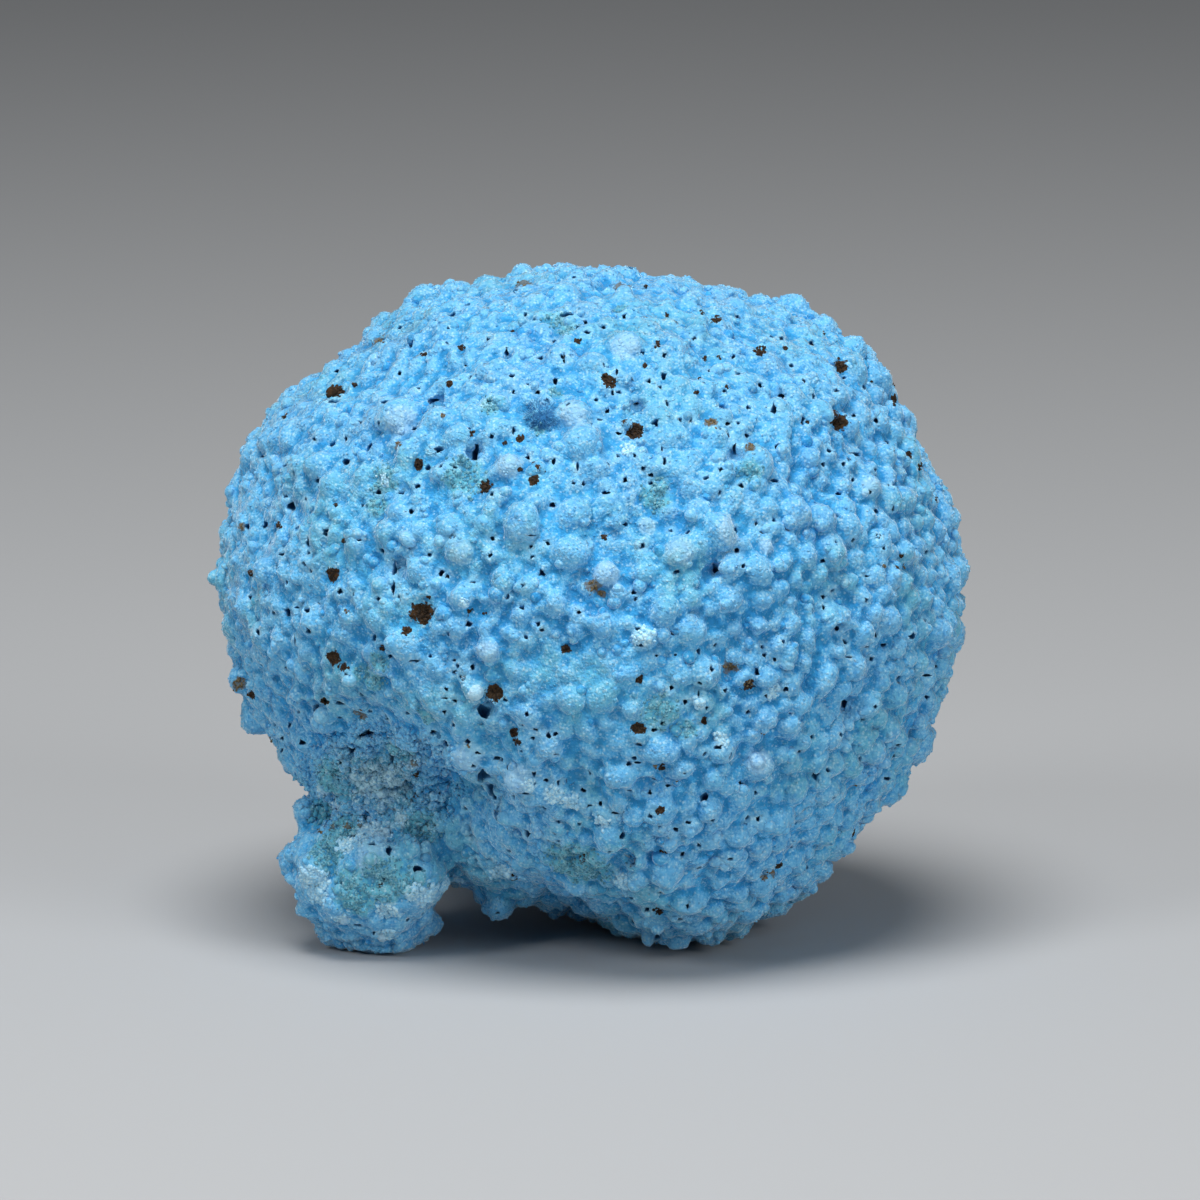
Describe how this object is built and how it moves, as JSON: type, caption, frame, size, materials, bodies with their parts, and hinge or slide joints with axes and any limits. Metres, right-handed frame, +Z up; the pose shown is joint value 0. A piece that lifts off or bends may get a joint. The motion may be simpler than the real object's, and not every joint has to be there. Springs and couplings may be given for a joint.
{
  "type": "shattuckite nodule",
  "caption": "Rounded natural nodule of pale blue beaded and pitted mineral crust, with a small knob grown from its lower left, resting on the ball's underside and the knob.",
  "frame": {"origin": "on the surface the nodule stands on, below the middle of its outline", "axes": "+Z up, +X to the right seen from the front, front towards -Y; the knob is at -X and -Y"},
  "size_m": [0.0376, 0.036, 0.0335],
  "materials": {
    "shattuckite_crust": "matt sky blue, velvety and finely grained, paler on the crests of its beads, deeper blue in its pits, with teal patches and dark brown iron-oxide specks"
  },
  "bodies": {
    "root": {"shattuckite_nodule": "shattuckite_crust"}
  },
  "joints": []
}
